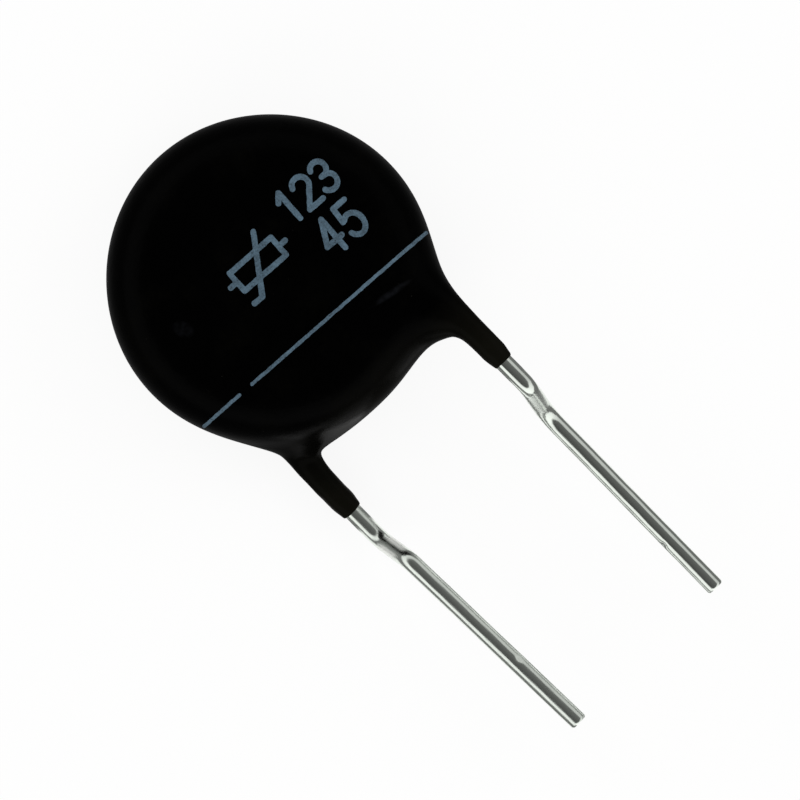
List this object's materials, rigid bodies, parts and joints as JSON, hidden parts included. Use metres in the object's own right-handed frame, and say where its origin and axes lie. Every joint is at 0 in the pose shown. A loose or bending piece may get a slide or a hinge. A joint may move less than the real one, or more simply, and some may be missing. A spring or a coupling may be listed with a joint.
{
  "type": "inrush current limiter",
  "caption": "Resin-dipped thermistor disc with two kinked tinned leads that limits a supply's switch-on current.",
  "frame": {"origin": "on the disc's axis, at the flat of its back, which the part lies on", "axes": "+Z out of the printed face, -Y along the leads, +X towards the lead that is soldered on the front"},
  "size_m": [0.0116, 0.0244, 0.0048],
  "materials": {
    "resin": "black dipped resin, soft satin gloss",
    "ceramic": "sintered, unglazed dark grey",
    "silver": "fired silver, matt",
    "solder": "solder, satin",
    "tinned_wire": "bright tin plate",
    "ink": "pale grey blue printing ink, matt"
  },
  "bodies": {
    "root": {"coating": "resin", "ceramic_disc": "ceramic", "front_electrode": "silver", "back_electrode": "silver", "front_solder": "solder", "back_solder": "solder", "right_lead": "tinned_wire", "left_lead": "tinned_wire", "print_line_long": "ink", "print_line_short": "ink", "print_symbol": "ink", "print_digit_1": "ink", "print_digit_2": "ink", "print_digit_3": "ink", "print_digit_4": "ink", "print_digit_5": "ink"}
  },
  "joints": []
}
